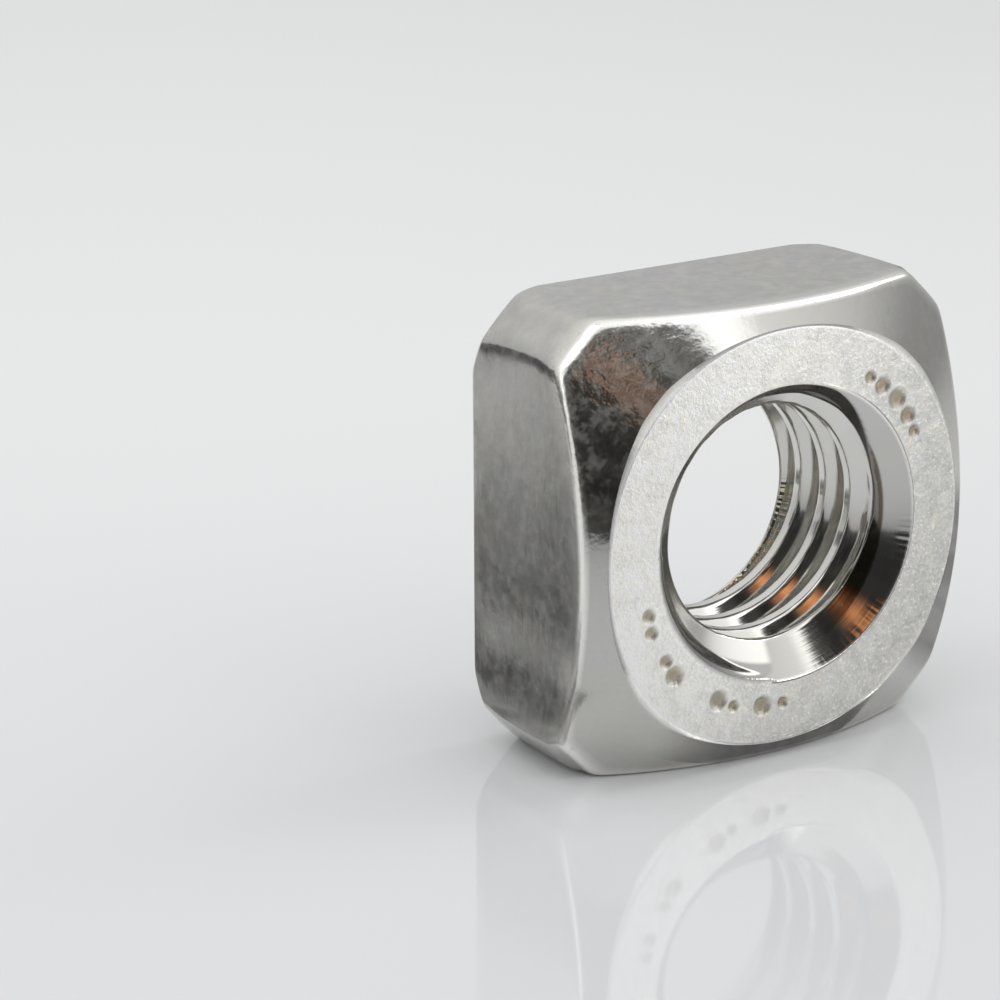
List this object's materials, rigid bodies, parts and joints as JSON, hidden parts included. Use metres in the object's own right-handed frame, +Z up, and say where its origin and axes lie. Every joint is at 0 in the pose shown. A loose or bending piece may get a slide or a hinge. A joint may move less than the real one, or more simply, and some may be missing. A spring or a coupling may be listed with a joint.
{
  "type": "square nut",
  "caption": "Square nut with cut corners, a crowned front that ends in a flat bearing ring, countersunk mouths and a right-hand metric thread.",
  "frame": {"origin": "on the thread's axis at half the nut's thickness, which is the middle of its box", "axes": "+Y along the thread's axis from the bearing ring to the back face, +Z up with the nut standing on one of its flats, +X to the right as the ring faces the viewer"},
  "size_m": [0.017, 0.0076, 0.017],
  "materials": {
    "stainless_steel": "bright cold-formed stainless steel: a pickled, finely grained bearing ring, smoother crown and flats with soft mottling, polished thread flanks"
  },
  "bodies": {
    "root": {"square_nut": "stainless_steel"}
  },
  "joints": []
}
